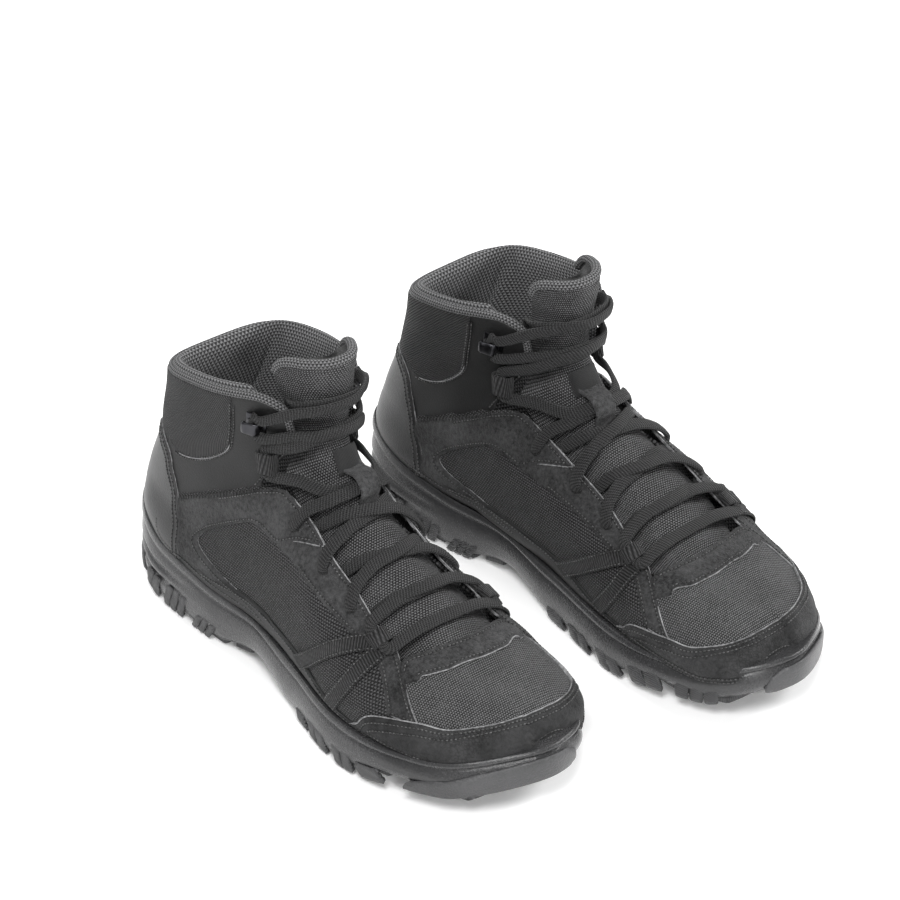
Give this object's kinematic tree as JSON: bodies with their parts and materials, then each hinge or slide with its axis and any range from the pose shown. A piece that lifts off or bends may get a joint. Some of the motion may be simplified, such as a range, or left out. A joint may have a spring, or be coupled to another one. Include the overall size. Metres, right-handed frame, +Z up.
{
  "type": "hiking boots",
  "caption": "Pair of mid-height laced hiking boots with padded collars, speed hooks, suede and mesh uppers, toe rands and lugged rubber soles.",
  "frame": {"origin": "middle of the pair's bounding box, on the ground", "axes": "+Z up, the toes point towards -Y, and the left boot stands at +X"},
  "size_m": [0.2524, 0.3168, 0.1669],
  "materials": {
    "rubber": "satin moulded rubber with fine ribbing",
    "midsole_foam": "satin moulded foam",
    "board": "bonded fibre board",
    "footbed_fabric": "needled fabric on foam",
    "stiffener": "thermoplastic sheet",
    "lining_mesh": "padded spacer mesh",
    "tongue_fabric": "padded woven fabric",
    "label": "folded woven tag",
    "suede": "fine napped suede",
    "ballistic_fabric": "coarse basket weave",
    "ribbed_mesh": "fine ribbed mesh",
    "twill": "fine twill",
    "synthetic": "smooth matte coated fabric",
    "webbing": "twill webbing",
    "lace_braid": "braided oval lace",
    "gunmetal": "gunmetal plating"
  },
  "bodies": {
    "left_boot": {"left_ankle_loop_inner": "webbing", "left_ankle_loop_outer": "webbing", "left_back_panel": "twill", "left_eyestay_inner": "suede", "left_eyestay_outer": "suede", "left_footbed": "footbed_fabric", "left_heel_counter": "synthetic", "left_heel_stiffener": "stiffener", "left_hook_inner": "gunmetal", "left_hook_outer": "gunmetal", "left_lace": "lace_braid", "left_lace_keeper": "suede", "left_lasting_board": "board", "left_lining": "lining_mesh", "left_midsole": "midsole_foam", "left_mudguard_inner": "synthetic", "left_mudguard_outer": "synthetic", "left_outsole": "rubber", "left_quarter_inner": "ribbed_mesh", "left_quarter_outer": "ribbed_mesh", "left_shaft_inner": "synthetic", "left_shaft_outer": "synthetic", "left_strap_inner": "webbing", "left_strap_outer": "webbing", "left_throat_tab": "suede", "left_toe_puff": "stiffener", "left_toe_rand": "suede", "left_tongue": "tongue_fabric", "left_tongue_label": "label", "left_vamp": "ballistic_fabric"},
    "right_boot": {"right_ankle_loop_inner": "webbing", "right_ankle_loop_outer": "webbing", "right_back_panel": "twill", "right_eyestay_inner": "suede", "right_eyestay_outer": "suede", "right_footbed": "footbed_fabric", "right_heel_counter": "synthetic", "right_heel_stiffener": "stiffener", "right_hook_inner": "gunmetal", "right_hook_outer": "gunmetal", "right_lace": "lace_braid", "right_lace_keeper": "suede", "right_lasting_board": "board", "right_lining": "lining_mesh", "right_midsole": "midsole_foam", "right_mudguard_inner": "synthetic", "right_mudguard_outer": "synthetic", "right_outsole": "rubber", "right_quarter_inner": "ribbed_mesh", "right_quarter_outer": "ribbed_mesh", "right_shaft_inner": "synthetic", "right_shaft_outer": "synthetic", "right_strap_inner": "webbing", "right_strap_outer": "webbing", "right_throat_tab": "suede", "right_toe_puff": "stiffener", "right_toe_rand": "suede", "right_tongue": "tongue_fabric", "right_tongue_label": "label", "right_vamp": "ballistic_fabric"}
  },
  "joints": [
    {"name": "right_boot_lift", "type": "slide", "parent": "left_boot", "child": "right_boot", "axis": [0, 0, 1], "range_m": [0, 0.25]}
  ]
}
